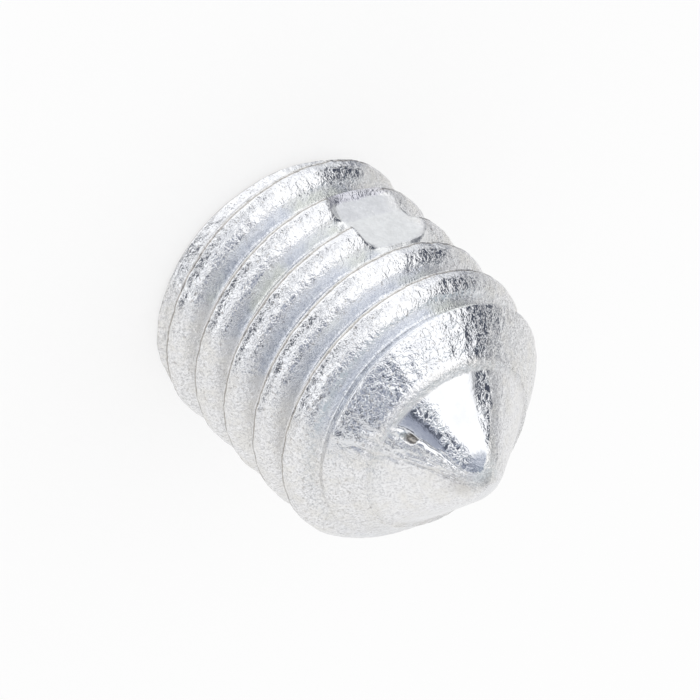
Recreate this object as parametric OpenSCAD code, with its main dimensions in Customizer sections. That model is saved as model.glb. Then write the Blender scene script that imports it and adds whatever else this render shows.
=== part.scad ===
// Connecting screw: a headless M5 x 6 screw with a rolled thread, a cone point and a hexagon socket.
// It stands on its flat drive end, with the axis of the thread along +Z and the point upwards.

/* [Body] */
// Length from the flat drive end to the tip of the point
length = 6; // [5.6:0.1:10]
// Diameter over the crests of the thread
thread_d = 4.97; // [4.8:0.01:5.2]

/* [Thread] */
// Distance between neighbouring crests
pitch = 0.8; // [0.5:0.05:1]
// Depth from crest to root
thread_depth = 0.42; // [0.2:0.01:0.45]
// Radius of the rounded front of a crest
front_radius = 0.4; // [0.2:0.01:0.42]
// Radius of the corner at the back of a crest
rear_radius = 0.06; // [0.02:0.01:0.12]
// Angle of a crest's front flank to a plane across the axis
front_flank = 20; // [10:1:25]
// Angle of a crest's rear flank to that plane
rear_flank = 36; // [25:1:40]
// Direction, seen from the point, in which a crest meets the drive end
thread_start = 49; // [0:1:359]
// Width added to the groove of the last turn
last_groove_extra = 0.1; // [0:0.01:0.15]
// Depth of the shallow groove where the thread runs in from the drive end
run_in_depth = 0.24; // [0.1:0.01:0.3]
// Height at which that groove has its full depth
run_in_h = 0.6; // [0.4:0.05:1.2]

/* [Drive end] */
// Diameter of the flat that is left inside the chamfer
rim_d = 4.4; // [3.8:0.05:4.6]
// Angle of the chamfer to the flat end
chamfer_angle = 45; // [35:1:60]
// Hexagon socket, across its flats
socket_af = 2.5; // [2:0.05:2.8]
// Depth of the hexagon's walls
socket_depth = 2; // [1:0.1:2.4]
// Included angle of the drilled bottom of the socket
socket_drill_angle = 120; // [100:1:150]

/* [Point] */
// Included angle of the cone
cone_angle = 98; // [90:1:110]
// Radius of the blunt tip
nose_r = 0.7; // [0.3:0.01:0.8]
// Roundness of the shoulder where the cone meets the thread
shoulder_blend = 0.4; // [0.1:0.01:0.5]
// Diameter of the ledge between the rough shoulder and the bright inner cone
ledge_d = 3.08; // [2.6:0.02:3.6]
// Drop of the inner cone at the ledge
ledge_step = 0.04; // [0.01:0.005:0.08]
// Direction of the pressing seam on the inner cone
seam_angle = 303; // [0:1:359]
// Arc of the shallow hollow that starts at the seam
hollow_arc = 95; // [60:5:140]
// Depth of that hollow
hollow_depth = 0.09; // [0.02:0.01:0.12]

/* [Pressed spot] */
// Direction of the spot where two turns are pressed flat
spot_angle = 215; // [0:1:359]
// Height of the middle of the spot above the drive end
spot_z = 1.78; // [1.4:0.02:2.6]
// Width of the spot, round the girth
spot_w = 1.7; // [1:0.05:2]
// Height of the spot, along the axis
spot_h = 1.56; // [0.8:0.02:1.6]
// Distance of the spot's floor from the axis
spot_floor_r = 2.2; // [2.04:0.01:2.3]
// Angle by which the floor leans, so that it meets the crests on one side
spot_lean = 8; // [0:1:15]

/* [Hidden] */

crest_r = thread_d / 2;
root_blend = 0.05;
chamfer_slope = 1 / tan(chamfer_angle);
edge_blend = 0.04;
spot_blend = 0.25;

cone_slope = tan(cone_angle / 2);
nose_z = length - nose_r;
apex_z = nose_z + nose_r / sin(cone_angle / 2);
nose_start_z = nose_z + nose_r * sin(cone_angle / 2);
ledge_r = ledge_d / 2;
ledge_z = apex_z - ledge_r / cone_slope;
ledge_run = 0.03;
shoulder_z = ledge_z - (crest_r - ledge_r) / cone_slope;

sides = 64;
thread_rings = ceil(12 * ledge_z / pitch);
ring_gap = ledge_z / thread_rings;
cone_rings = 4;
nose_rings = 5;
root_x = (edge_width(thread_depth, front_radius, front_flank)
    + pitch - edge_width(thread_depth, rear_radius, rear_flank)) / 2;

// Heights of all rings of points, from the drive end to just below the tip
ring_z = concat(
    [for (i = [0 : thread_rings]) ledge_z * i / thread_rings],
    [for (i = [0 : cone_rings])
        ledge_z + ledge_run + (nose_start_z - ledge_z - ledge_run) * i / cone_rings],
    [for (i = [1 : nose_rings])
        nose_z + nose_r * cos((90 - cone_angle / 2) * (1 - i / (nose_rings + 1)))]
);

function clamp(x) = min(max(x, 0), 1);
function ease(x) = let (t = clamp(x)) t * t * (3 - 2 * t);
function soft_min(a, b, k) = let (h = clamp(0.5 + (b - a) / (2 * k)))
    b * (1 - h) + a * h - k * h * (1 - h);

// Angle from one direction to another, between -180 and 180
function turn(from, to) = let (d = (to - from) % 360) d > 180 ? d - 360 : d < -180 ? d + 360 : d;

// Drop of a rounded edge and the flank below it, at a distance from the top of the edge
function edge_drop(x, radius, flank) = let (reach = radius * cos(flank))
    x < reach ? radius - sqrt(radius ^ 2 - x ^ 2)
    : radius * (1 - sin(flank)) + (x - reach) / tan(flank);

// Distance from the top of the edge at which the flank has dropped by a depth
function edge_width(depth, radius, flank) =
    radius * cos(flank) + (depth - radius * (1 - sin(flank))) * tan(flank);

// Drop from the crests at an axial distance in front of one of them
function groove(x, extra, depth) = soft_min(
    min(edge_drop(x, front_radius, front_flank), edge_drop(pitch - x + extra, rear_radius, rear_flank)),
    depth, root_blend);

// Thread with an endless regular helix, shallow where it runs in and wider where it ends
function thread_r(angle, z) =
    let (turns = z / pitch - (angle - thread_start) / 360,
         extra = last_groove_extra * ease((z - shoulder_z) / (pitch / 2)),
         depth = run_in_depth + (thread_depth - run_in_depth) * ease(2 * z / run_in_h - 1))
    crest_r - groove((turns - floor(turns)) * pitch, extra, depth);

// Outer limit of the chamfered end
function end_r(z) = rim_d / 2 + z * chamfer_slope;

// Shallow hollow on one side of the pressing seam
function hollow(angle, r) =
    let (t = turn(seam_angle, angle) / hollow_arc)
    t <= 0 || t >= 1 ? 0
    : hollow_depth * sin(180 * sqrt(t)) * ease(r / nose_r - 0.5) * ease((ledge_r - r) / ledge_step / 4);

function inner_cone_r(angle, z) =
    let (r = z < nose_start_z ? (apex_z - z) * cone_slope : sqrt(max(nose_r ^ 2 - (z - nose_z) ^ 2, 0)))
    r - hollow(angle, r);

// Outline of the shoulder, from the crests to the ledge
function shoulder_r(z) = soft_min(crest_r, (apex_z - z) * cone_slope + ledge_step, shoulder_blend);

// How far a place lies inside the pressed spot, from 0 at its edge to 1
function in_spot(angle, z) =
    let (x = turn(spot_angle, angle) * PI / 180 * crest_r * 2 / spot_w,
         y = (z - spot_z) * 2 / spot_h)
    ease((1 - (x ^ 4 + y ^ 4) ^ 0.25) / spot_blend);

// Metal pressed flat in the spot, where the crests fill the groove between them
function pressed(angle, z, r) =
    let (flat_r = spot_floor_r / max(cos(turn(spot_angle + spot_lean, angle)), 0.5))
    r + in_spot(angle, z) * (flat_r - r);

function skin_r(angle, z) = z > ledge_z ? inner_cone_r(angle, z)
    : soft_min(min(pressed(angle, z, thread_r(angle, z)), end_r(z)), shoulder_r(z), edge_blend);

// Height above the nearest line that runs round with the thread, ahead of a crest by ahead
function above_line(angle, z, ahead) =
    let (turns = (z - ahead) / pitch - (angle - thread_start) / 360) (turns - round(turns)) * pitch;

// Height of a ring at an angle; where it passes a crest or a root, it lies right on it
function fitted_z(angle, z) =
    let (crest = above_line(angle, z, 0), root = above_line(angle, z, root_x))
    z <= 0 || z >= ledge_z ? z
    : abs(crest) < ring_gap / 2 ? z - crest
    : abs(root) < ring_gap / 2 ? z - root : z;

// Threaded and pointed body, as rings of points that follow skin_r
module shaft() {
    count = len(ring_z);
    rings = [for (ring = ring_z, i = [0 : sides - 1])
        let (a = 360 * i / sides, z = fitted_z(a, ring), r = skin_r(a, z))
        [r * cos(a), r * sin(a), z]];
    walls = [for (k = [0 : count - 2], i = [0 : sides - 1])
        let (a = k * sides + i, b = k * sides + (i + 1) % sides)
        each [[a, b + sides, b], [a, a + sides, b + sides]]];
    last = (count - 1) * sides;
    tip = [for (i = [0 : sides - 1]) [last + i, count * sides, last + (i + 1) % sides]];
    flat_end = [for (i = [0 : sides - 1]) i];
    polyhedron(concat(rings, [[0, 0, length]]), concat([flat_end], walls, tip));
}

// Hexagon hole with a drilled bottom, cut from the drive end
module socket() {
    overlap = 0.02;
    drill_h = socket_af / 2 / tan(socket_drill_angle / 2);
    translate([0, 0, -overlap])
        cylinder(h = socket_depth + overlap, d = socket_af / cos(30), $fn = 6);
    translate([0, 0, socket_depth])
        cylinder(h = drill_h, d1 = socket_af, d2 = 0, $fn = 48);
}

module screw() {
    color("silver")
    difference() {
        shaft();
        socket();
    }
}

screw();
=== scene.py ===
import itertools
import math

import bmesh
import bpy
import numpy as np
from mathutils import Matrix, Vector


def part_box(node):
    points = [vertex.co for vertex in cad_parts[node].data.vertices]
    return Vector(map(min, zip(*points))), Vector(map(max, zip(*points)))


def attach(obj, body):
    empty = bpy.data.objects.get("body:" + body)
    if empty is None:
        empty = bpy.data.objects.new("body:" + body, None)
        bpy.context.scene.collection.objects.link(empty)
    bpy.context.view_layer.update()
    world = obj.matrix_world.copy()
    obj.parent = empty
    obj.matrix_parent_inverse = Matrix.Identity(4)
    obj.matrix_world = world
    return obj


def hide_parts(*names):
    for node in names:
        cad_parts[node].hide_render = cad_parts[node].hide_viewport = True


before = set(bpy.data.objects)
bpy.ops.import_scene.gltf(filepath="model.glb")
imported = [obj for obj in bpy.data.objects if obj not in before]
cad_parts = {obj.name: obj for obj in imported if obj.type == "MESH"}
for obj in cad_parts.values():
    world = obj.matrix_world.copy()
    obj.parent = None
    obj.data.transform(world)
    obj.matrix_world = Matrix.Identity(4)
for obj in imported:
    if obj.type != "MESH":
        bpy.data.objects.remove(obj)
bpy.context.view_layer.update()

# Sizes are in metres. Angles are in degrees, seen from the point, from +X towards +Y. A strip is
# given as its start, its end and the width of its edges.
MM = 0.001
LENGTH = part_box("screw")[1][2]
CREST_R = 2.485 * MM

# Thread
PITCH = 0.8 * MM
THREAD_DEPTH = 0.42 * MM
FRONT_RADIUS = 0.4 * MM
REAR_RADIUS = 0.06 * MM
FRONT_FLANK = 20
REAR_FLANK = 36
THREAD_START = 49
LAST_GROOVE_EXTRA = 0.1 * MM
RUN_IN_DEPTH = 0.24 * MM
RUN_IN_H = 0.6 * MM
ROOT_BLEND = 0.05 * MM

# Places in front of a crest: where its rough top ends and where the root lies
CREST_FRONT = 0.385 * MM
ROOT_X = 0.45 * MM
CREST_FRONT_EDGE = 0.05 * MM
CREST_REAR_EDGE = 0.06 * MM
RUN_IN_EDGE = 0.1 * MM

# Fine crease along the corner of the crests, darkened with painted shade, and the pale strips
# behind it and on their fronts
CREASE_WIDTH = 0.024 * MM
CREASE_DEPTH = 0.014 * MM
PALE_REAR = (-0.09 * MM, -0.01 * MM, 0.02 * MM)
PALE_FRONT = (0.22 * MM, CREST_FRONT, 0.08 * MM)

# Drive end
RIM_R = 2.2 * MM
CHAMFER_ANGLE = 45
SOCKET_AF = 2.5 * MM
SOCKET_DEPTH = 2 * MM
SOCKET_DRILL_ANGLE = 120
SOCKET_DRILL_R = 1.22 * MM
EDGE_SOFTNESS = 0.05 * MM
# Width of the darker line along the edge of the drive end
END_DARK_H = 0.06 * MM

# Point: cone, blunt tip, shoulder, and the ledge between the shoulder and the inner cone
CONE_ANGLE = 98
NOSE_R = 0.7 * MM
SHOULDER_BLEND = 0.4 * MM
LEDGE_R = 1.54 * MM
LEDGE_STEP = 0.04 * MM
LEDGE_RUN = 0.03 * MM
LEDGE_WALL = 0.07 * MM
LEDGE_WALL_EDGE = 0.04 * MM
LIP_WIDTH = 0.14 * MM
LIP_HEIGHT = 0.03 * MM

# Pressing seam on the inner cone, with a shallow hollow on one side and a crumpled fold on the
# other. The fold gets narrower where it leaves the cone.
SEAM_ANGLE = 303
HOLLOW_ARC = 95
HOLLOW_DEPTH = 0.09 * MM
FOLD_ARC = 20
FOLD_EDGE = 2
FOLD_TAPER = 12
FOLD_TAPER_R = 1.35 * MM
FOLD_TAPER_RUN = 0.45 * MM
FOLD_SPAN = (0.5 * MM, 1.85 * MM, 0.2 * MM)
FOLD_HEIGHT = 0.02 * MM

# Cuts along both edges of the fold: depth, distance of the middle from the edge, and half width
SEAM_CUT = (0.05 * MM, 1.5, 2.5)
FOLD_CUT = (0.035 * MM, 1, 1.8)

# Small hole in the fold
HOLE_ANGLE = 285
HOLE_R = 1.28 * MM
HOLE_W = 0.095 * MM
HOLE_H = 0.07 * MM
HOLE_SPREAD = 1.4
HOLE_DEPTH = 0.16 * MM

# Crinkles on the inner cone: in bands (middle and half width) and round the nose
CRINKLE_BANDS = ((264, 12), (210, 14))
CRINKLE_NOSE_R = 1.0 * MM
CRINKLE_NOSE_RUN = 0.5 * MM
CRINKLE_NOSE_EDGE = 8
CRINKLE_BEYOND = 4
CRINKLE_EDGE = 6

# The plating is bright on one side of the screw, dull beside it and half dull on the far side.
# On the cone the bright side is wider and sharper, and it begins beside the tip, where a dark
# reflection is painted into the colour.
BRIGHT_ANGLE = 254
BRIGHT_ARC = 50
BRIGHT_EDGE = 20
CONE_BRIGHT_EXTRA = 10
CONE_BRIGHT_EDGE = 4
CONE_BRIGHT_START_R = 0.3 * MM
FAR_ARC = 105
FAR_EDGE = 35
FAR_BLOOM = 0.35
TIP_R = 0.36 * MM
TIP_EDGE = 0.2 * MM
STAIN_ANGLE = 316
STAIN_ARC = 50
STAIN_R = 0.42 * MM

# Pressed spot, with a slight crease across its floor and a rough band at its lower edge, which is
# darkened with painted shade
SPOT_ANGLE = 215
SPOT_Z = 1.78 * MM
SPOT_W = 1.7 * MM
SPOT_H = 1.56 * MM
SPOT_FLOOR_R = 2.2 * MM
SPOT_LEAN = 8
SPOT_BLEND = 0.25
SPOT_RIM = 0.12
SPOT_CREASE_Z = 1.62 * MM
SPOT_CREASE_ANGLE = 8
SPOT_BAND_Z = 1.24 * MM
SPOT_BAND_EDGE = 0.06 * MM
SPOT_BAND_INSET = 0.4

# The relief is lower where the plating is dull, and lower again on the cone
DULL_RELIEF = 0.7
CONE_CALM = 0.5

# Random patterns: width of a patch, greatest value (a height, an angle or a share) and seed
LUMPS = (0.24 * MM, 0.012 * MM, 1)
GRAINS = (0.11 * MM, 0.008 * MM, 2)
WRINKLES = (0.10 * MM, 0.012 * MM, 3)
WAVES = (0.7 * MM, 0.010 * MM, 4)
DENTS = (0.4 * MM, 0.006 * MM, 5)
DULL_PATCHES = (0.6 * MM, 10, 7)
RAGGED_EDGES = (0.12 * MM, 0.03 * MM, 8)
DULL_EDGES = (0.15 * MM, 5, 9)
SEAM_BENDS = (0.25 * MM, 3, 11)
SEAM_TEETH = (0.09 * MM, 2, 12)
FOLD_CREASES = (0.13 * MM, 0.045 * MM, 13)
FOLD_GRAINS = (0.08 * MM, 0.012 * MM, 14)
CRINKLE_BENDS = (0.3 * MM, 5, 15)
CRINKLES = (0.12 * MM, 0.014 * MM, 16)
SPOT_BENDS = (0.3 * MM, 0.04, 18)
PATTERN_OFFSET = 40 * MM

# Values that follow from the sizes
CONE_SLOPE = math.tan(math.radians(CONE_ANGLE / 2))
NOSE_Z = LENGTH - NOSE_R
APEX_Z = NOSE_Z + NOSE_R / math.sin(math.radians(CONE_ANGLE / 2))
NOSE_START_Z = NOSE_Z + NOSE_R * math.sin(math.radians(CONE_ANGLE / 2))
LEDGE_Z = APEX_Z - LEDGE_R / CONE_SLOPE
SHOULDER_Z = LEDGE_Z - (CREST_R - LEDGE_R) / CONE_SLOPE
SOCKET_DRILL_H = SOCKET_DRILL_R / math.tan(math.radians(SOCKET_DRILL_ANGLE / 2))

# Rings and columns of the mesh; six columns lie in the corners of the hexagon
COLUMNS = 384
THREAD_RINGS = 176
CONE_RINGS = 52
NOSE_RINGS = 12
ANGLES = np.arange(COLUMNS) * 360 / COLUMNS

# Kinds of surface, each kept in the mesh as a share from 0 to 1. Bloom is dull plating.
# The tip share is a painted dark reflection, the spot's band is painted shade, and the grime share
# holds real stains and painted shade.
SURFACE_ZONES = (
    "crest", "shoulder", "flank", "tip", "bloom", "grime_and_shade",
    "spot", "shaded_band", "cone", "fold", "crinkle")

# Colours of the plating
ZINC = (0.84, 0.85, 0.87, 1)
SCUFFED_ZINC = (0.76, 0.77, 0.80, 1)
FLANK = (0.64, 0.67, 0.74, 1)
FLANK_LINES = (0.90, 0.92, 0.95, 1)
YELLOW_TINT = (0.90, 0.91, 0.83, 1)
# Painted dark reflection on the blunt tip
TIP_DARK_REFLECTION = (0.42, 0.45, 0.53, 1)
PRESSED = (0.89, 0.90, 0.90, 1)
PRESSED_DARK = (0.78, 0.79, 0.79, 1)
# Painted shade on the band at the spot's lower edge
BAND_SHADE = (0.58, 0.58, 0.66, 1)
DUST = (0.96, 0.96, 0.97, 1)
WARM_DUST = (0.91, 0.90, 0.88, 1)
FLECKS = (0.42, 0.42, 0.43, 1)
PITS = (0.36, 0.33, 0.30, 1)
# Real stains, and painted shade in the crease, the hole, on the ledge and round the spot
GRIME_AND_SHADE = (0.30, 0.27, 0.23, 1)

# The camera stands on the -Y side, high up, and is rolled until the point looks to the lower right
CAMERA_ELEVATION = 35.2
CAMERA_ROLL = 133.87
CAMERA_DISTANCE = 110 * MM
CAMERA_AIM = Vector((-0.026, 0, 2.234)) * MM
CAMERA_RANGE = (1 * MM, 10)
VIEW_WIDTH = 11.354 * MM
SENSOR_WIDTH = 36

# Light of the studio's patches
PALE = (0.90, 0.90, 0.90)
ROOM = (0.86, 0.88, 0.93)
SOFTBOX = (1.28, 1.28, 1.28)
SATIN = (0.92, 0.93, 0.94)
LILAC = (0.64, 0.65, 0.71)
MIST = (0.74, 0.77, 0.84)
STEEL = (0.50, 0.56, 0.60)
DUSK = (0.40, 0.43, 0.52)
SHADE = (0.26, 0.27, 0.31)
DARK = (0.08, 0.09, 0.12)

# Stands for a part of the room that is full of bright and dark things
CLUTTER = "clutter"
CLUTTER_SIZE = 5.0
CLUTTER_BRIGHT = (0.48, 0.52)
CLUTTER_DARK = (0.54, 0.57)

# What the metal mirrors: direction in the picture (right, up, towards the camera), the angles
# at which the patch is whole and gone, and its light. Later patches cover earlier ones.
STUDIO = [
    ((0.05, -0.10, 1.0), 40, 60, ROOM),
    ((-0.85, 0.40, 0.25), 25, 45, SOFTBOX),
    ((-0.55, 0.30, 0.75), 45, 68, CLUTTER),
    ((-0.10, -0.55, 0.85), 12, 28, CLUTTER),
    ((0.34, 0.58, -0.74), 9, 18, SHADE),
    ((0.81, 0.55, -0.18), 12, 22, DARK),
    ((0.88, 0.42, -0.12), 12, 22, DARK),
    ((0.99, 0.16, -0.01), 10, 20, DARK),
    ((-0.05, 0.95, 0.05), 37, 42, SOFTBOX),
    ((-0.30, 0.80, 0.50), 3, 9, SHADE),
    ((-0.02, 0.86, 0.52), 3, 9, SHADE),
    ((0.25, 0.87, -0.42), 13, 20, SATIN),
    ((0.42, 0.89, -0.16), 6, 12, LILAC),
    ((0.66, 0.32, 0.68), 28, 37, SOFTBOX),
    ((0.92, -0.38, 0.10), 10, 24, STEEL),
    ((0.66, -0.66, 0.36), 14, 26, STEEL),
    ((0.30, -0.38, 0.87), 12, 20, DUSK),
    ((0.04, -0.64, 0.77), 6, 16, DARK),
    ((0.16, -0.57, 0.81), 2, 8, MIST),
    ((0.40, -0.31, 0.87), 4, 9, DARK),
    ((-0.93, -0.30, 0.12), 5, 13, DARK),
    ((-0.93, -0.08, 0.36), 5, 13, DARK),
    ((-0.84, 0.18, 0.51), 5, 13, DARK),
    ((-0.68, 0.42, 0.60), 5, 13, DARK),
    ((0.74, -0.67, -0.06), 10, 18, DARK),
]

FLOOR_R = 60 * MM
FLOOR_SIDES = 96
FLOOR_GAP = 0.02 * MM
FLOOR_GLOW = 0.7
PAPER = (0.95, 0.95, 0.95, 1)
WHITE = (1, 1, 1, 1)


# Helpers

def ease(x):
    """Smooth step from 0 at x = 0 to 1 at x = 1."""
    t = np.clip(x, 0, 1)
    return t * t * (3 - 2 * t)


def bell(x):
    """1 in the middle, 0 from x = -1 downwards and x = 1 upwards."""
    return ease(1 - np.abs(x))


def window(x, low, high, edge):
    """1 between low and high, falling to 0 over an edge on either side."""
    return ease((x - low) / edge + 0.5) * ease((high - x) / edge + 0.5)


def soft_min(a, b, k):
    """The lower of two values, rounded over a width k where they meet."""
    h = np.clip(0.5 + (b - a) / (2 * k), 0, 1)
    return b * (1 - h) + a * h - k * h * (1 - h)


def turn(start, end):
    """Angle from one direction to another, between -180 and 180."""
    return (end - start + 180) % 360 - 180


def noise(points, pattern):
    """Smooth random values, between the pattern's greatest value and its opposite."""
    size, greatest, seed = pattern
    cells = 64
    lattice = np.random.default_rng(seed).uniform(-1, 1, (cells, cells, cells))
    place = points / size
    cell = np.floor(place).astype(int)
    part = ease(place - cell)
    total = np.zeros(len(points))
    for corner in itertools.product((0, 1), repeat=3):
        weight = np.prod(np.where(corner, part, 1 - part), axis=1)
        x, y, z = ((cell + corner) % cells).T
        total += weight * lattice[x, y, z]
    return total * greatest


def ridges(points, pattern):
    """Random sharp ridges, up to half the pattern's greatest value high."""
    return pattern[1] / 2 - np.abs(noise(points, pattern))


def around(angle, z, radius=CREST_R, stretch=1):
    """Places on a cylinder, where noise is read; a low stretch draws its patches out along Z."""
    a = np.radians(angle)
    return np.stack([radius * np.cos(a), radius * np.sin(a), z * stretch + PATTERN_OFFSET], axis=1)


# Smooth shape: that of the part's source, with a crease and a wavy edge added to the spot

def ahead_of_crest(angle, z):
    """Axial distance from the crest behind, from 0 to the pitch."""
    return (z / PITCH - (angle - THREAD_START) / 360) % 1 * PITCH


def edge_drop(x, radius, flank):
    """Drop of a rounded edge and the flank below it, at a distance from the top of the edge."""
    flank = math.radians(flank)
    reach = radius * math.cos(flank)
    arc = radius - np.sqrt(radius ** 2 - np.minimum(x, reach) ** 2)
    return arc + np.maximum(x - reach, 0) / math.tan(flank)


def thread_r(z, x):
    """Radius of the thread, at a distance x ahead of the crest."""
    extra = LAST_GROOVE_EXTRA * ease((z - SHOULDER_Z) / (PITCH / 2))
    depth = RUN_IN_DEPTH + (THREAD_DEPTH - RUN_IN_DEPTH) * ease(2 * z / RUN_IN_H - 1)
    front = edge_drop(x, FRONT_RADIUS, FRONT_FLANK)
    rear = edge_drop(PITCH - x + extra, REAR_RADIUS, REAR_FLANK)
    return CREST_R - soft_min(np.minimum(front, rear), depth, ROOT_BLEND)


def in_spot(angle, z):
    """How far a place lies inside the pressed spot, from 0 at its edge to 1."""
    x = np.radians(turn(SPOT_ANGLE, angle)) * CREST_R * 2 / SPOT_W
    y = (z - SPOT_Z) * 2 / SPOT_H
    wavy = noise(around(angle, z), SPOT_BENDS)
    return ease((1 + wavy - (x ** 4 + y ** 4) ** 0.25) / SPOT_BLEND)


def pressed(angle, z, r, spot):
    """Radius where the metal is pressed flat in the spot."""
    flat = SPOT_FLOOR_R / np.maximum(np.cos(np.radians(turn(SPOT_ANGLE + SPOT_LEAN, angle))), 0.5)
    below = np.maximum(SPOT_CREASE_Z - z, 0)
    flat = flat + below * math.tan(math.radians(SPOT_CREASE_ANGLE))
    return r + spot * (flat - r)


def hollow(angle, r):
    """Depth of the shallow hollow on one side of the pressing seam."""
    t = turn(SEAM_ANGLE, angle) / HOLLOW_ARC
    arc = np.sin(np.pi * np.sqrt(np.clip(t, 0, 1)))
    return HOLLOW_DEPTH * arc * ease(r / NOSE_R - 0.5) * ease((LEDGE_R - r) / LEDGE_STEP / 4)


def inner_cone_r(angle, z):
    """Radius of the inner cone and its blunt tip."""
    nose = np.sqrt(np.maximum(NOSE_R ** 2 - (z - NOSE_Z) ** 2, 0))
    r = np.where(z < NOSE_START_Z, (APEX_Z - z) * CONE_SLOPE, nose)
    return r - hollow(angle, r)


# Kinds of surface

def thread_zones(x, z, ragged):
    """Shares of the rough crest, its pale front, its pale rear and the crease along its corner."""
    on_front = ease((CREST_FRONT + ragged - x) / CREST_FRONT_EDGE + 0.5)
    on_rear = ease((x - PITCH) / CREST_REAR_EDGE + 1)
    run_in = ease((RUN_IN_H - z) / RUN_IN_EDGE)
    crest = np.max([on_front, on_rear, run_in], axis=0)
    front = window(x + ragged, *PALE_FRONT) * crest
    from_crest = (x + PITCH / 2) % PITCH - PITCH / 2
    rear = window(from_crest + ragged, *PALE_REAR)
    return crest, front, rear, bell(from_crest / CREASE_WIDTH)


def from_bright(angle, r, on_cone):
    """Angle from the middle of the bright side and distance, seen from the axis or, on the cone,
    from a point beside the tip, where the bright side begins."""
    a = np.radians(turn(BRIGHT_ANGLE, angle))
    ahead = r * np.cos(a) - CONE_BRIGHT_START_R * on_cone
    across = r * np.sin(a)
    side = np.degrees(np.abs(np.arctan2(across, ahead))) - CONE_BRIGHT_EXTRA * on_cone
    return side, np.hypot(across, ahead)


def dullness(angle, z, r, on_cone, ragged):
    """How dull the plating is, from 0 to 1, and the share of the painted dark reflection at the
    bright side's tip.
    """
    place = around(angle, z)
    patchy = noise(place, DULL_PATCHES) * ~on_cone + noise(place, DULL_EDGES)
    side, distance = from_bright(angle, r, on_cone)
    edge = np.where(on_cone, CONE_BRIGHT_EDGE, BRIGHT_EDGE)
    bloom = ease((side + patchy - BRIGHT_ARC) / edge + 0.5)
    far = ease((np.abs(turn(BRIGHT_ANGLE, angle)) + patchy - FAR_ARC) / FAR_EDGE)
    bloom = bloom * (1 - (1 - FAR_BLOOM) * far)
    # The tip share marks where the painted dark reflection lies on the nose
    tip = ease((TIP_R + ragged - distance) / TIP_EDGE) * on_cone * (1 - bloom)
    return bloom, tip


def skin(angle, z):
    """Radius of the smooth skin, and what kind of surface lies at each place."""
    x = ahead_of_crest(angle, z)
    spot = in_spot(angle, z)
    on_cone = z > LEDGE_Z
    thread = pressed(angle, z, thread_r(z, x), spot)
    chamfer = RIM_R + z / math.tan(math.radians(CHAMFER_ANGLE))
    shoulder = soft_min(CREST_R, (APEX_Z - z) * CONE_SLOPE + LEDGE_STEP, SHOULDER_BLEND)
    on_shoulder = ease((thread - shoulder) / EDGE_SOFTNESS) * ~on_cone
    on_chamfer = ease((thread - chamfer) / EDGE_SOFTNESS) * ~on_cone
    on_thread = (1 - spot) * (1 - on_shoulder) * (1 - on_chamfer) * ~on_cone
    lip = ease((z - LEDGE_Z) / LIP_WIDTH + 1) * ~on_cone
    wall = ease((LEDGE_Z + LEDGE_WALL - z) / LEDGE_WALL_EDGE) * on_cone

    ragged = noise(around(angle, z), RAGGED_EDGES)
    crest, front, rear, corner = (zone * on_thread for zone in thread_zones(x, z, ragged))
    outer = soft_min(np.minimum(thread, chamfer), shoulder, EDGE_SOFTNESS) + LIP_HEIGHT * lip
    r = np.where(on_cone, inner_cone_r(angle, z), outer) - CREASE_DEPTH * corner

    bloom, tip = dullness(angle, z, r, on_cone, ragged)
    stain = bell(turn(STAIN_ANGLE, angle) / STAIN_ARC) * bell((r - STAIN_R) / STAIN_R) * on_cone
    rim = bell((spot - SPOT_RIM) / SPOT_RIM)
    end = bell(z / END_DARK_H)
    in_band = ease((SPOT_BAND_Z + ragged - z) / SPOT_BAND_EDGE)
    pale = [bloom, 0.6 * on_chamfer, 0.9 * lip, 0.9 * wall, 0.8 * rear, 0.25 * front]
    # Darker places: painted shade in the corner crease, on the ledge and round the spot's rim, a
    # dark line along the drive end's edge, and a real stain on the cone
    dirt_and_shade = [corner, end, 0.45 * stain, 0.12 * lip, 0.16 * wall, 0.35 * rim]
    return r, {
        "crest": crest,
        "shoulder": on_shoulder * (1 - lip),
        "flank": (on_thread - crest) * (1 - bloom),
        "tip": tip,
        "bloom": np.max(pale, axis=0),
        "grime_and_shade": np.max(dirt_and_shade, axis=0),
        "spot": spot,
        # The band at the spot's lower edge is crinkled and darkened with painted shade
        "shaded_band": ease(spot / SPOT_BAND_INSET) * in_band,
        "cone": on_cone.astype(float),
    }


# Relief on the smooth shape

def cut(side, depth, middle, half):
    """Depth of a cut along an edge of the fold; the side is measured outwards from that edge."""
    return depth * bell((side - middle) / half)


def crumple(angle, z, r):
    """Height of the crumpled fold along the pressing seam, its share and that of the small hole."""
    place = around(angle, z)
    side = turn(SEAM_ANGLE, angle) + noise(place, SEAM_BENDS) + noise(place, SEAM_TEETH)
    arc = FOLD_ARC - FOLD_TAPER * ease((r - FOLD_TAPER_R) / FOLD_TAPER_RUN)
    reach = window(r, *FOLD_SPAN)
    fold = ease(-side / FOLD_EDGE) * ease((side + arc) / FOLD_EDGE) * reach
    height = fold * (FOLD_HEIGHT + ridges(place, FOLD_CREASES) + noise(place, FOLD_GRAINS))
    height -= (cut(side, *SEAM_CUT) + cut(-side - arc, *FOLD_CUT)) * reach
    across = np.radians(turn(HOLE_ANGLE, angle)) * HOLE_R / HOLE_H
    hole = ease(HOLE_SPREAD - across ** 2 - ((r - HOLE_R) / HOLE_W) ** 2)
    return height - HOLE_DEPTH * hole, fold, hole


def crinkle(angle, z, r):
    """Height of the crinkles on the inner cone, in bands and round the nose, and their share."""
    place = around(angle, z, r)
    wander = noise(place, CRINKLE_BENDS)
    share = ease((CRINKLE_NOSE_R - r) / CRINKLE_NOSE_RUN)
    share = share * ease((turn(BRIGHT_ANGLE, angle) + wander) / CRINKLE_NOSE_EDGE)
    for middle, half in CRINKLE_BANDS:
        share = np.maximum(share, bell((turn(middle, angle) + wander) / half))
    side, distance = from_bright(angle, r, 1)
    share = share * ease((BRIGHT_ARC + CRINKLE_BEYOND - side) / CRINKLE_EDGE)
    share = share * ease(distance / TIP_R) * (z > LEDGE_Z)
    return share * noise(place, CRINKLES), share


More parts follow.
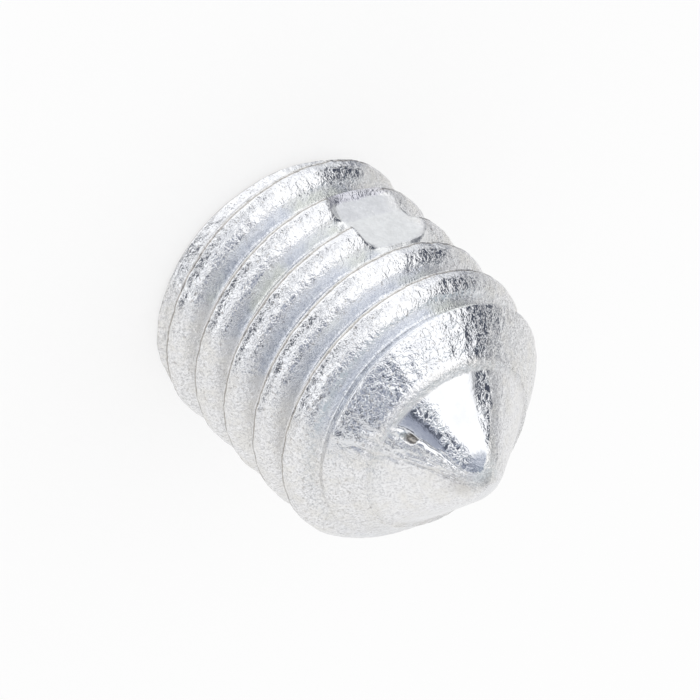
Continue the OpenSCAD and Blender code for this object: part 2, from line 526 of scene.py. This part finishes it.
def roughen(angle, z, r, zones):
    """Radius with all lumps, wrinkles and crumpled places, whose zones are added."""
    place = around(angle, z)
    rough = np.maximum(zones["crest"], zones["shoulder"])
    rough = np.maximum(rough, zones["bloom"] * (DULL_RELIEF - CONE_CALM * zones["cone"]))
    grains = noise(place, LUMPS) + noise(place, GRAINS)
    wrinkles = ridges(around(angle, z, stretch=0.5), WRINKLES)
    waves = noise(place, WAVES) * (1 - CONE_CALM * zones["cone"])
    dents = noise(place, DENTS) * (zones["cone"] + zones["spot"])
    crumpled, zones["fold"], hole = crumple(angle, z, r)
    crinkled, crinkle_share = crinkle(angle, z, r)
    zones["crinkle"] = np.maximum(crinkle_share, 0.5 * zones["shaded_band"])
    zones["bloom"] = np.maximum(zones["bloom"], 0.5 * zones["fold"])
    # The small hole is darkened with painted shade
    zones["grime_and_shade"] = np.maximum(zones["grime_and_shade"], hole)
    return r + rough * (grains + wrinkles) + waves + dents + crumpled + crinkled


# Mesh

def ring_heights():
    """Height of each ring in each column; rings near a crest or a root lie right on it."""
    thread = np.linspace(0, LEDGE_Z, THREAD_RINGS)
    cone = np.linspace(LEDGE_Z + LEDGE_RUN, NOSE_START_Z, CONE_RINGS)
    steps = np.arange(1, NOSE_RINGS + 1) / (NOSE_RINGS + 1)
    nose = NOSE_Z + NOSE_R * np.cos(np.radians((90 - CONE_ANGLE / 2) * (1 - steps)))
    heights = np.repeat(np.concatenate([thread, cone, nose])[:, None], COLUMNS, axis=1)
    for feature in (0, CREST_FRONT, ROOT_X):
        for k in range(-1, math.ceil(LENGTH / PITCH)):
            line = ((ANGLES - THREAD_START) / 360 + k) * PITCH + feature
            ring = np.rint(line / thread[1]).astype(int)
            column = np.flatnonzero((ring > 0) & (ring < THREAD_RINGS - 1))
            heights[ring[column], column] = line[column]
    return heights


def hexagon_r(inset=0.0):
    """Radius of the socket's hexagon in each column."""
    return (SOCKET_AF / 2 - inset) / np.cos(np.radians(ANGLES % 60 - 30))


def socket_rings():
    """Radius and height of each ring, from the middle of the drilled bottom out to the rim."""
    hexagon = hexagon_r()
    outer = RIM_R - EDGE_SOFTNESS
    rings = []
    for t in (0.05, 0.35, 0.7, 1):
        rings.append((SOCKET_DRILL_R * t, SOCKET_DEPTH + SOCKET_DRILL_H * (1 - t)))
    rings += [(hexagon, SOCKET_DEPTH * t) for t in (1, 0.98, 0.7, 0.4, 0.15)]
    for t in np.radians((0, 30, 60, 90)):
        rings.append((hexagon_r(EDGE_SOFTNESS * (np.cos(t) - 1)), EDGE_SOFTNESS * (1 - np.sin(t))))
    rings += [(hexagon * (1 - t) + outer * t, 0) for t in (0.3, 0.6, 0.85, 1)]
    return rings


def screw_points():
    """All points, ring by ring, from the bottom of the socket over the rim to the point, the zones
    of those on the outside, and the number of rings inside."""
    rings = []
    for radius, height in socket_rings():
        rings.append(np.stack([np.broadcast_to(radius, COLUMNS), np.full(COLUMNS, height)], axis=1))
    z = ring_heights().ravel()
    angle = np.tile(ANGLES, len(z) // COLUMNS)
    smooth, zones = skin(angle, z)
    r = roughen(angle, z, smooth, zones)
    body = np.stack([r, z], axis=1).reshape(-1, COLUMNS, 2)
    radius, height = np.moveaxis(np.concatenate([np.array(rings), body]), 2, 0)
    a = np.radians(ANGLES)
    return np.stack([radius * np.cos(a), radius * np.sin(a), height], axis=2), zones, len(rings)


def build_screw():
    """One closed mesh that keeps the kinds of surface as attributes of its points."""
    points, zones, inner_count = screw_points()
    count = len(points)
    bottom = [0, 0, SOCKET_DEPTH + SOCKET_DRILL_H]
    tip = [0, 0, LENGTH]
    vertices = np.concatenate([points.reshape(-1, 3), [bottom, tip]])
    index = np.arange(count * COLUMNS).reshape(count, COLUMNS)
    ahead = np.roll(index, -1, axis=1)
    quads = np.stack([index[:-1], ahead[:-1], ahead[1:], index[1:]], axis=2).reshape(-1, 4)
    first, last = index[0], index[-1]
    caps = [(ahead[0][i], first[i], len(vertices) - 2) for i in range(COLUMNS)]
    caps += [(last[i], ahead[-1][i], len(vertices) - 1) for i in range(COLUMNS)]
    mesh = bpy.data.meshes.new("threaded_body")
    mesh.from_pydata(vertices.tolist(), [], quads.tolist() + caps)
    mesh.shade_smooth()
    for name in SURFACE_ZONES:
        values = np.zeros(len(vertices))
        values[inner_count * COLUMNS:-2] = zones[name]
        values[-1] = name == "cone"
        layer = mesh.attributes.new(name, "FLOAT", "POINT")
        layer.data.foreach_set("value", values.astype(np.float32))
    mesh.update()
    piece = bpy.data.objects.new("threaded_body", mesh)
    bpy.context.scene.collection.objects.link(piece)
    return piece


# Material

class Nodes:
    """Short calls that add nodes to one material or world and link them."""

    def __init__(self, owner):
        owner.use_nodes = True
        self.tree = owner.node_tree
        self.tree.nodes.clear()

    def put(self, socket, value):
        if isinstance(value, bpy.types.NodeSocket):
            self.tree.links.new(value, socket)
        else:
            socket.default_value = value

    def add(self, kind, inputs=(), **settings):
        node = self.tree.nodes.new(kind)
        for name, value in settings.items():
            setattr(node, name, value)
        for socket, value in dict(inputs).items():
            self.put(node.inputs[socket], value)
        return node

    def math(self, operation, a, b=0.0):
        return self.add("ShaderNodeMath", {0: a, 1: b}, operation=operation).outputs[0]

    def times(self, a, b):
        return self.math("MULTIPLY", a, b)

    def highest(self, first, *others):
        for other in others:
            first = self.math("MAXIMUM", first, other)
        return first

    def vector(self, operation, a, b):
        return self.add("ShaderNodeVectorMath", {0: a, 1: b}, operation=operation).outputs[0]

    def attribute(self, name):
        return self.add("ShaderNodeAttribute", attribute_name=name).outputs["Fac"]

    def noise(self, vector, scale, detail=2.0, roughness=0.5):
        inputs = {"Vector": vector, "Scale": scale, "Detail": detail, "Roughness": roughness}
        return self.add("ShaderNodeTexNoise", inputs).outputs["Fac"]

    def noise_colour(self, vector, scale):
        return self.add("ShaderNodeTexNoise", {"Vector": vector, "Scale": scale}).outputs["Color"]

    def ramp(self, value, low, high, start=0.0, end=1.0):
        """Smooth step from start, where the value is low, to end, where it is high."""
        inputs = {"Value": value, "From Min": low, "From Max": high, "To Min": start, "To Max": end}
        return self.add("ShaderNodeMapRange", inputs, interpolation_type="SMOOTHSTEP").outputs[0]

    def fade(self, share, start, end):
        """Smooth step from start, where the share is 0, to end, where it is 1."""
        return self.ramp(share, 0, 1, start, end)

    def mix(self, factor, a, b):
        node = self.add("ShaderNodeMix", data_type="RGBA")
        for socket, value in ((0, factor), (6, a), (7, b)):
            self.put(node.inputs[socket], value)
        return node.outputs[2]

    def bump(self, height, distance, strength, normal=None):
        inputs = {"Height": height, "Distance": distance, "Strength": strength}
        if normal is not None:
            inputs["Normal"] = normal
        return self.add("ShaderNodeBump", inputs).outputs[0]


def zinc_textures(n):
    """Noise that the relief and the colours share; its scales are patches per millimetre."""
    place = n.add("ShaderNodeTexCoord").outputs["Object"]
    mm = n.vector("MULTIPLY", place, (1 / MM, 1 / MM, 1 / MM))
    swirl = n.vector("MULTIPLY", n.noise_colour(mm, scale=9.0), (0.09, 0.09, 0.09))
    curls = n.vector("ADD", mm, swirl)
    upright = n.vector("MULTIPLY", mm, (1, 1, 0.1))
    return {
        "grain": n.noise(curls, scale=11.0, roughness=0.55),
        "fine": n.noise(mm, scale=36.0, detail=1.0),
        "veins": n.math("ABSOLUTE", n.math("SUBTRACT", n.noise(curls, scale=9.0), 0.5)),
        "coarse": n.noise(mm, scale=9.0, detail=3.0, roughness=0.7),
        "lines": n.noise(upright, scale=24.0, roughness=0.6),
        "scuffs": n.noise(mm, scale=3.0, detail=3.0, roughness=0.6),
        "spots": n.noise(mm, scale=17.0),
        "flecks": n.noise(curls, scale=26.0, detail=3.0, roughness=0.7),
        "tints": n.noise(mm, scale=0.9, detail=1.0),
    }


def zinc_normal(n, zone, texture, rough, dull):
    """Fine relief of the plating, in layers: height, depth in millimetres and share."""
    grainy = n.times(n.fade(rough, 0.10, 1.0), n.ramp(texture["scuffs"], 0.40, 0.60, 0.6, 1.0))
    layers = (
        (texture["grain"], 0.022, grainy),
        (texture["fine"], 0.002, grainy),
        (n.ramp(texture["veins"], 0, 0.08, 1, 0), 0.003, n.fade(rough, 0, 1)),
        (n.ramp(texture["veins"], 0, 0.12, 1, 0), 0.010, zone["crinkle"]),
        (texture["coarse"], 0.030, n.fade(dull, 0, 1)),
        (texture["lines"], 0.015, n.fade(zone["smooth"], 0.05, 1)),
    )
    normal = None
    for height, depth, share in layers:
        normal = n.bump(height, depth * MM, share, normal)
    return normal


def zinc_colour(n, zone, texture, rough):
    """Colour of the plating; each kind of surface covers those before it."""
    zinc = n.mix(n.ramp(texture["scuffs"], 0.35, 0.7), ZINC, SCUFFED_ZINC)
    flank = n.mix(n.ramp(texture["lines"], 0.35, 0.65), FLANK, FLANK_LINES)
    flank = n.mix(n.ramp(texture["tints"], 0.50, 0.64, 0.0, 0.6), flank, YELLOW_TINT)
    spot = n.mix(n.ramp(texture["coarse"], 0.35, 0.65), PRESSED, PRESSED_DARK)
    dust = n.mix(n.ramp(texture["scuffs"], 0.4, 0.65), DUST, WARM_DUST)
    flecks = n.times(n.ramp(texture["flecks"], 0.42, 0.66), n.fade(zone["bloom"], 0.0, 0.6))
    flecks = n.times(flecks, n.ramp(texture["scuffs"], 0.35, 0.6, 1.0, 0.5))
    pits = n.times(n.ramp(texture["spots"], 0.60, 0.70), n.fade(rough, 0.0, 0.4))
    layers = (
        (n.fade(zone["smooth"], 0, 0.8), flank),
        # Painted dark reflection on the tip
        (n.fade(zone["tip"], 0, 0.85), TIP_DARK_REFLECTION),
        (n.fade(zone["spot"], 0, 0.8), spot),
        # Painted shade on the spot's band
        (n.fade(zone["shaded_band"], 0, 0.8), BAND_SHADE),
        (zone["bloom"], dust),
        (flecks, FLECKS),
        (pits, PITS),
        # Real stains, and painted shade in the crease, the hole, on the ledge and round the spot
        (n.fade(zone["grime_and_shade"], 0, 0.75), GRIME_AND_SHADE),
    )
    for share, colour in layers:
        zinc = n.mix(share, zinc, colour)
    return zinc


def zinc_material():
    """Zinc plating: bright metal that is rougher, paler, dirtier, or darker with painted shade and
    a painted reflection, from one zone to the next.
    """
    material = bpy.data.materials.new("zinc_plated_steel")
    n = Nodes(material)
    zone = {name: n.attribute(name) for name in SURFACE_ZONES}
    zone["smooth"] = n.highest(zone["flank"], zone["tip"])
    texture = zinc_textures(n)
    dull = n.times(zone["bloom"], n.fade(zone["cone"], 0.9, 0.5))
    rough = n.highest(
        zone["crest"], n.times(zone["shoulder"], 0.9), dull,
        n.times(zone["fold"], 0.6), n.times(zone["spot"], 0.3))
    roughness = n.fade(rough, 0.12, 0.07)
    for name, extra in (("smooth", 0.12), ("spot", 0.18), ("bloom", 0.20)):
        roughness = n.math("ADD", roughness, n.fade(zone[name], 0.0, extra))
    shader = n.add("ShaderNodeBsdfPrincipled", {
        "Base Color": zinc_colour(n, zone, texture, rough),
        "Metallic": n.fade(zone["bloom"], 1.0, 0.75),
        "Roughness": roughness,
        "Normal": zinc_normal(n, zone, texture, rough, dull)})
    n.add("ShaderNodeOutputMaterial", {"Surface": shader.outputs[0]})
    return material


# Studio

def camera_axes():
    """Right, up and towards the camera, in the picture."""
    elevation, roll = math.radians(CAMERA_ELEVATION), math.radians(CAMERA_ROLL)
    toward = Vector((0, -math.cos(elevation), math.sin(elevation)))
    level_right = Vector((1, 0, 0))
    level_up = toward.cross(level_right)
    right = level_right * math.cos(roll) + level_up * math.sin(roll)
    up = level_up * math.cos(roll) - level_right * math.sin(roll)
    return right, up, toward


def in_world(x, y, z):
    """Direction in the world of one given in the picture: right, up and towards the camera."""
    right, up, toward = camera_axes()
    return (right * x + up * y + toward * z).normalized()


def add_camera():
    right, up, toward = camera_axes()
    data = bpy.data.cameras.new("camera")
    data.sensor_width = SENSOR_WIDTH
    data.lens = SENSOR_WIDTH * CAMERA_DISTANCE / VIEW_WIDTH
    data.clip_start, data.clip_end = CAMERA_RANGE
    camera = bpy.data.objects.new("camera", data)
    turn_matrix = Matrix((right, up, toward)).transposed().to_4x4()
    camera.matrix_world = Matrix.Translation(CAMERA_AIM + toward * CAMERA_DISTANCE) @ turn_matrix
    bpy.context.scene.collection.objects.link(camera)
    bpy.context.scene.camera = camera


def patch_share(n, direction, centre, whole, gone):
    """How much of a round patch of the dome lies in a direction, from 0 to 1."""
    inputs = {0: direction, 1: in_world(*centre)}
    dot = n.add("ShaderNodeVectorMath", inputs, operation="DOT_PRODUCT").outputs["Value"]
    return n.ramp(dot, math.cos(math.radians(gone)), math.cos(math.radians(whole)))


def add_world():
    """Dome of patches that only the metal mirrors; everything else sees plain white."""
    world = bpy.data.worlds.new("studio")
    bpy.context.scene.world = world
    world.cycles.sampling_method = "NONE"
    n = Nodes(world)
    direction = n.add("ShaderNodeTexCoord").outputs["Generated"]
    things = n.noise(direction, CLUTTER_SIZE)
    bright, dark = n.ramp(things, *CLUTTER_BRIGHT, 1, 0), n.ramp(things, *CLUTTER_DARK)
    dome = (*PALE, 1)
    for centre, whole, gone, light in STUDIO:
        share = patch_share(n, direction, centre, whole, gone)
        if light == CLUTTER:
            dome = n.mix(n.times(bright, share), dome, (*SOFTBOX, 1))
            dome = n.mix(n.times(dark, share), dome, (*DARK, 1))
        else:
            dome = n.mix(share, dome, (*light, 1))
    path = n.add("ShaderNodeLightPath").outputs
    seen = n.mix(path["Is Glossy Ray"], WHITE, dome)
    background = n.add("ShaderNodeBackground", {"Color": seen, "Strength": 1.0})
    n.add("ShaderNodeOutputWorld", {"Surface": background.outputs[0]})


def add_floor():
    """Plain white floor that keeps the shadow; the metal mirrors the studio beyond it."""
    mesh = bpy.data.meshes.new("floor")
    shape = bmesh.new()
    bmesh.ops.create_circle(shape, cap_ends=True, segments=FLOOR_SIDES, radius=FLOOR_R)
    shape.to_mesh(mesh)
    shape.free()
    floor = bpy.data.objects.new("floor", mesh)
    floor.location.z = -FLOOR_GAP
    bpy.context.scene.collection.objects.link(floor)
    material = bpy.data.materials.new("floor")
    n = Nodes(material)
    paper = n.add("ShaderNodeBsdfDiffuse", {"Color": PAPER})
    glow = n.add("ShaderNodeEmission", {"Color": WHITE, "Strength": 1.0})
    path = n.add("ShaderNodeLightPath").outputs
    share = n.times(path["Is Camera Ray"], FLOOR_GLOW)
    mixed = n.add("ShaderNodeMixShader", {0: share, 1: paper.outputs[0], 2: glow.outputs[0]})
    n.add("ShaderNodeOutputMaterial", {"Surface": mixed.outputs[0]})
    mesh.materials.append(material)
    floor.visible_glossy = False


def make_scene():
    piece = build_screw()
    piece.data.materials.append(zinc_material())
    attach(piece, "root")
    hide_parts("screw")
    add_camera()
    add_world()
    add_floor()
    bpy.context.scene.view_settings.view_transform = "Standard"


make_scene()
